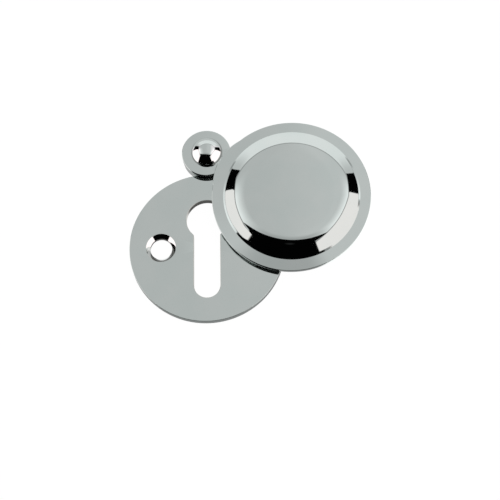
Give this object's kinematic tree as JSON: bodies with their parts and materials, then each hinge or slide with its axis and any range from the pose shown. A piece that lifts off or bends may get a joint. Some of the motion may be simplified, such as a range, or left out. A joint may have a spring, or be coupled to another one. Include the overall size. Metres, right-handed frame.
{
  "type": "covered keyhole escutcheon",
  "caption": "Round keyhole escutcheon: a flat plate with a keyhole and countersunk screw holes, and a raised round cover that swings aside on a domed rivet.",
  "frame": {"origin": "middle of the plate on its back face, halfway between the screw holes", "axes": "+Z out of the door, +Y up from the keyhole to the pivot, +X to the right seen from the front"},
  "size_m": [0.05, 0.0425, 0.006],
  "materials": {
    "plate_chrome": "polished",
    "cover_chrome": "polished",
    "rivet_chrome": "polished"
  },
  "bodies": {
    "plate": {"backplate": "plate_chrome", "pivot_rivet": "rivet_chrome"},
    "cover": {"swing_cover": "cover_chrome"}
  },
  "joints": [
    {"name": "cover_swing", "type": "hinge", "parent": "plate", "child": "cover", "pos_m": [0, 0.02028, 0], "axis": [0, 0, 1], "continuous": true}
  ]
}
